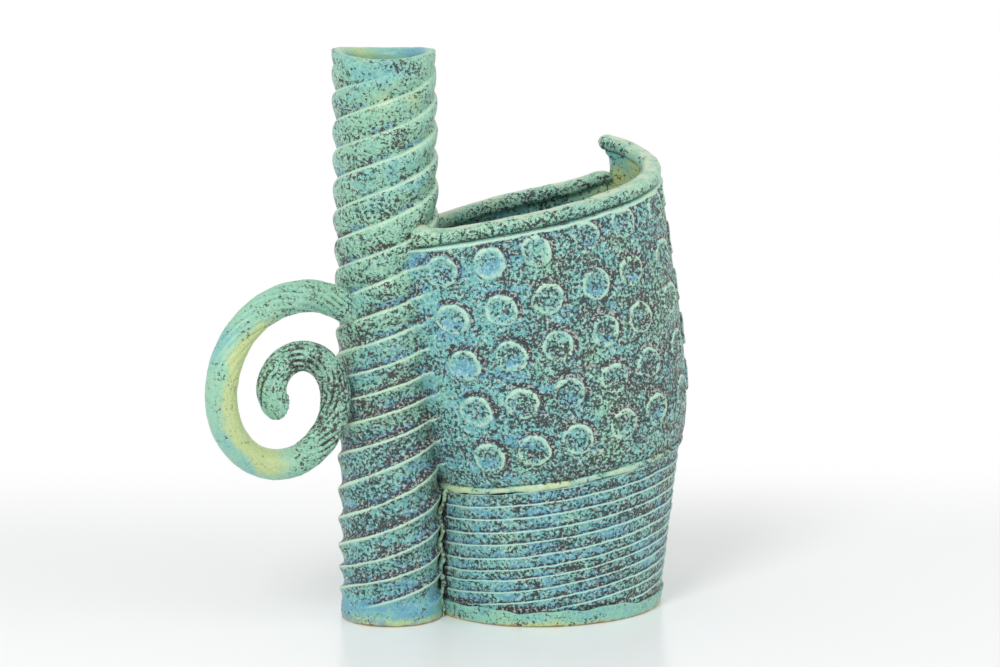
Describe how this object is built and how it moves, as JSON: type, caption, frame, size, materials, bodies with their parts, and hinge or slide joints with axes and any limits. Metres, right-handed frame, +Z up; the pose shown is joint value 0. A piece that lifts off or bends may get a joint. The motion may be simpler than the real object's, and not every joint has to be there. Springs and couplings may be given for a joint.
{
  "type": "pitcher",
  "caption": "Hand-built ceramic pitcher: open oval slab body with a raised pouring tip, luted to a tall hollow ribbed column, with a spiral coil handle on the column.",
  "frame": {"origin": "under the middle of the whole pitcher's box, on the surface that it stands on", "axes": "+Z up along the column, +X from the column and its handle towards the far, pouring end of the body, -Y the front"},
  "size_m": [0.3028, 0.1372, 0.333],
  "materials": {
    "rib_glaze": "speckled blue-green semi-matt glaze on stoneware",
    "comb_glaze": "speckled blue-green semi-matt glaze on stoneware",
    "ring_glaze": "speckled blue-green semi-matt glaze on stoneware",
    "edge_glaze": "speckled blue-green semi-matt glaze on stoneware",
    "handle_glaze": "speckled blue-green semi-matt glaze on stoneware",
    "inside_glaze": "speckled blue-green semi-matt glaze on stoneware"
  },
  "bodies": {
    "root": {"column_wall": "rib_glaze", "column_floor": "inside_glaze", "body_floor": "inside_glaze", "lower_wall": "comb_glaze", "waist_coil": "edge_glaze", "upper_front_wall": "ring_glaze", "upper_back_wall": "ring_glaze", "front_rim_coil": "edge_glaze", "back_rim_coil": "edge_glaze", "front_seam_coil": "edge_glaze", "back_seam_coil": "edge_glaze", "handle": "handle_glaze"}
  },
  "joints": []
}
